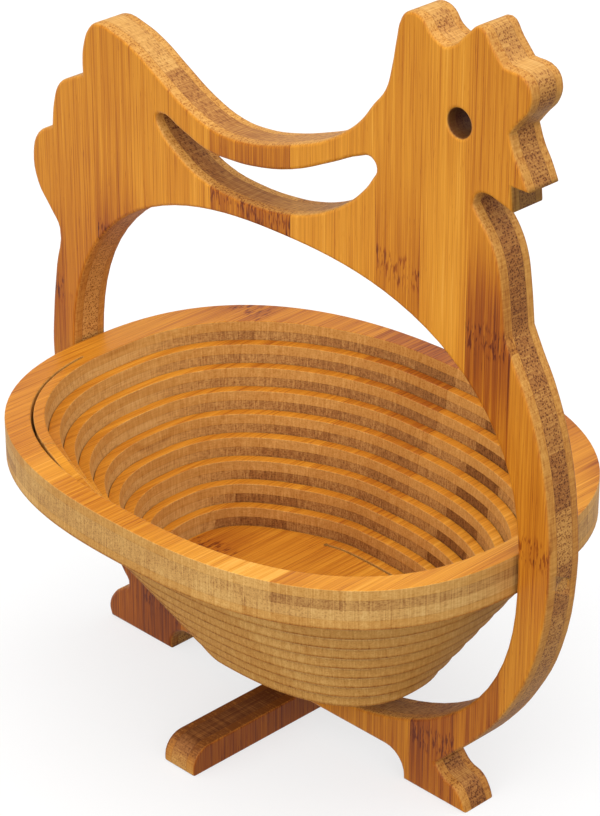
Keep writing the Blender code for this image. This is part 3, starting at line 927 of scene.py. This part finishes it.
class BowlStretch:
    """One stretch of the bowl's top face, thickened down into a closed piece."""

    def __init__(self, course):
        self.course = course
        self.bm = bmesh.new()
        self.underside = self.bm.verts.layers.float_vector.new("underside")

    def add_point(self, turn, inset, lean=KERF_LEAN):
        top = bowl_plan(turn, inset)
        low = bowl_plan(turn, inset + lean)
        half = BOARD_THICKNESS / 2
        point = self.bm.verts.new(PIVOT + top + Vector((0, 0, half - self.course.depth_at(top))))
        point[self.underside] = PIVOT + low - Vector((0, 0, half + self.course.depth_at(low)))
        return point

    def add_columns(self, turns):
        columns = []
        for turn in turns:
            outer, inner = strip_insets(turn)
            columns.append((self.add_point(turn, outer), self.add_point(turn, inner)))
        self.add_ribbon(columns)
        return columns

    def add_ribbon(self, columns):
        for (outer, inner), (next_outer, next_inner) in zip(columns, columns[1:]):
            self.bm.faces.new((outer, next_outer, next_inner, inner))

    def thickened(self, name):
        """Extrude the top down to the underside and mark its long edges for rounding."""
        weight = self.bm.edges.layers.float.new("bevel_weight_edge")
        top_faces = self.bm.faces[:]
        result = bmesh.ops.extrude_face_region(self.bm, geom=top_faces)
        for item in result["geom"]:
            if isinstance(item, bmesh.types.BMVert):
                item.co = item[self.underside]
        self.bm.verts.layers.float_vector.remove(self.underside)
        bmesh.ops.recalc_face_normals(self.bm, faces=self.bm.faces)
        for edge in self.bm.edges:
            levels = [abs(face.normal.z) > LEVEL_SHARE for face in edge.link_faces]
            if levels.count(True) == 1:
                edge[weight] = 1
        return object_from_bmesh(name, self.bm)


def turns_between(start, end):
    steps = max(FEWEST_STEPS, round((end - start) * RING_POINTS))
    return [start + (end - start) * step / steps for step in range(steps + 1)]


def dress_bowl_piece(piece, course, bamboo):
    """Round the piece and let its grain lie as it did in the flat board."""

    def place_on_board(co):
        level = co.z - PIVOT.z + course.depth_at(co - PIVOT)
        return Vector((co.x - PIVOT.x, -level, co.y + PIVOT.z))

    def way_on_board(way):
        return Vector((way.x, -way.z, way.y))

    round_edges(piece, STRIP_ROUNDING)
    give_board_frame(piece, place_on_board, way_on_board, bamboo)


def make_rim(bamboo):
    """The outer ring, and the strip's first stretch that leaves it."""
    stretch = BowlStretch(Level(0))
    turns = turns_between(0, 1)[:-1]
    outer = [stretch.add_point(turn, 0, lean=0) for turn in turns]
    inner = [stretch.add_point(turn, kerf_inset(turn) - STRIP_KERF / 2) for turn in turns]
    stretch.add_ribbon(list(zip(outer, inner)))
    tongue = stretch.add_columns(turns_between(0, DROP_START_SHARE))
    root_outer, root_inner = tongue[0]
    stretch.bm.faces.new((outer[-1], outer[0], inner[0], root_outer, root_inner, inner[-1]))
    piece = stretch.thickened("rim_board")
    dress_bowl_piece(piece, stretch.course, bamboo)
    settle(piece, "bowl_rim", "basket_rim")


def make_ring(number, bamboo):
    """The level part of one turn of the strip."""
    stretch = BowlStretch(Level(number))
    stretch.add_columns(turns_between(number - 1 + DROP_END_SHARE, number + DROP_START_SHARE))
    piece = stretch.thickened(f"ring_{number}")
    dress_bowl_piece(piece, stretch.course, bamboo)
    settle(piece, f"bowl_turn_{number}", f"spiral_turn_{number}")


def make_ramp(number, bamboo):
    """The drop between two turns."""
    course = Ramp(number)
    stretch = BowlStretch(course)
    stretch.add_columns(turns_between(number + DROP_START_SHARE, number + DROP_END_SHARE))
    piece = stretch.thickened(f"ramp_{number}")
    dress_bowl_piece(piece, course, bamboo)
    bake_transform(piece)


def make_base(bamboo):
    """The middle of the board with the last stretch of the strip and the hole where the cut ends."""
    stretch = BowlStretch(Level(STRIP_TURNS))
    last = STRIP_TURNS - 1
    start = last + DROP_END_SHARE
    tongue_end = last + STRIP_END_SHARE
    tongue = stretch.add_columns(turns_between(start, tongue_end))
    slit_turns = turns_between(start + 1, tongue_end + 1)
    open_turns = turns_between(tongue_end, start + 1)[1:-1]
    slit = [stretch.add_point(turn, kerf_inset(turn) + STRIP_KERF / 2) for turn in slit_turns]
    side = [stretch.add_point(turn, kerf_inset(turn) + STRIP_KERF / 2) for turn in open_turns]
    tongue_outer, tongue_inner = tongue[-1]
    stretch.bm.faces.new(slit + [tongue_inner, tongue_outer] + side)
    piece = stretch.thickened("base_board")
    drill_pilot_hole(piece, PIVOT + bowl_plan(tongue_end + 1, kerf_inset(tongue_end + 1)))
    dress_bowl_piece(piece, stretch.course, bamboo)
    settle(piece, "bowl_base", "basket_base")


def drill_pilot_hole(piece, place):
    bm = bmesh.new()
    radius = PILOT_HOLE_DIAMETER / 2
    bmesh.ops.create_cone(bm, cap_ends=True, segments=HOLE_POINTS, radius1=radius,
                          radius2=radius, depth=2 * OPENING_HALF_HEIGHT)
    drill = object_from_bmesh("pilot_drill", bm)
    drill.location = place
    cut = piece.modifiers.new("pilot_hole", "BOOLEAN")
    cut.solver = "EXACT"
    cut.object = drill
    apply_modifiers(piece)
    bpy.data.objects.remove(drill, do_unlink=True)


def make_bowl(bamboo):
    bodies = ["bowl_rim"]
    bodies += [f"bowl_turn_{number}" for number in range(1, STRIP_TURNS)]
    bodies.append("bowl_base")
    make_rim(bamboo)
    for number in range(1, STRIP_TURNS):
        make_ring(number, bamboo)
    for number in range(STRIP_TURNS):
        make_ramp(number, bamboo)
    make_base(bamboo)


def dress_steel():
    steel = steel_material()
    for node in ("pivot_pin_head_side", "pivot_pin_tail_side", "foot_screw"):
        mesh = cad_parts[node].data
        mesh.materials.clear()
        mesh.materials.append(steel)


def seen_rays(tree):
    """1 for the camera's rays, also where they come by way of metal or glass."""
    path = tree.nodes.new("ShaderNodeLightPath")
    seen = path.outputs["Is Camera Ray"]
    for name in ("Is Glossy Ray", "Is Transmission Ray"):
        total = tree.nodes.new("ShaderNodeMath")
        total.use_clamp = True
        tree.links.new(seen, total.inputs[0])
        tree.links.new(path.outputs[name], total.inputs[1])
        seen = total.outputs[0]
    return seen


def floor_material():
    """Pale floor that keeps its shadow, shows white and throws little light on the object."""
    shader = Shader("pale_floor")
    tree = shader.tree
    tree.nodes.remove(shader.surface)
    seen = seen_rays(tree)
    bounce = shader.node("BsdfDiffuse", {"Color": FLOOR_BOUNCE_COLOUR})
    paint = shader.node("BsdfDiffuse", {"Color": FLOOR_COLOUR})
    glow = shader.node("Emission", {"Color": WHITE, "Strength": 1.0})
    shown = shader.node("MixShader", {0: FLOOR_GLOW_SHARE, 1: paint, 2: glow})
    surface = shader.node("MixShader", {0: seen, 1: bounce, 2: shown})
    tree.links.new(surface, tree.nodes["Material Output"].inputs["Surface"])
    return shader.material


def make_stage():
    bm = bmesh.new()
    bmesh.ops.create_grid(bm, x_segments=FLOOR_GRID, y_segments=FLOOR_GRID, size=FLOOR_HALF_SIZE)
    floor = object_from_bmesh("studio_floor", bm)
    floor.location.z = -FLOOR_DROP
    floor.data.materials.append(floor_material())


def make_world():
    """Soft light from all sides; the camera and reflections see white."""
    world = bpy.data.worlds.new("studio")
    bpy.context.scene.world = world
    world.use_nodes = True
    tree = world.node_tree
    background = tree.nodes["Background"]
    background.inputs["Color"].default_value = WHITE
    strength = tree.nodes.new("ShaderNodeMapRange")
    strength.inputs["To Min"].default_value = AMBIENT_STRENGTH
    tree.links.new(seen_rays(tree), strength.inputs["Value"])
    tree.links.new(strength.outputs[0], background.inputs["Strength"])


def make_lights():
    for name, (source, strength, width) in SUNS.items():
        light = bpy.data.lights.new(name, "SUN")
        light.energy = strength
        light.angle = math.radians(width)
        lamp = bpy.data.objects.new(name, light)
        lamp.rotation_euler = Vector(source).to_track_quat("Z", "Y").to_euler()
        bpy.context.scene.collection.objects.link(lamp)


def make_camera():
    data = bpy.data.cameras.new("photo_camera")
    data.sensor_fit = "HORIZONTAL"
    data.sensor_width = SENSOR_WIDTH
    data.lens = CAMERA_LENS
    camera = bpy.data.objects.new("photo_camera", data)
    camera.location = CAMERA_LOCATION
    camera.rotation_euler = CAMERA_ANGLES
    bpy.context.scene.collection.objects.link(camera)
    bpy.context.scene.camera = camera
    bpy.context.scene.view_settings.view_transform = "Standard"


def build():
    frame_bamboo = BambooLook("frame_bamboo", FRAME_BOARD).material()
    make_standing_frame(frame_bamboo)
    for side_name in ("head_side", "tail_side"):
        make_plug(side_name, frame_bamboo)
    make_cross_foot(BambooLook("foot_bamboo", FOOT_BOARD).material())
    make_bowl(BambooLook("bowl_bamboo", BOWL_BOARD).material())
    dress_steel()
    make_stage()
    make_world()
    make_lights()
    make_camera()


build()
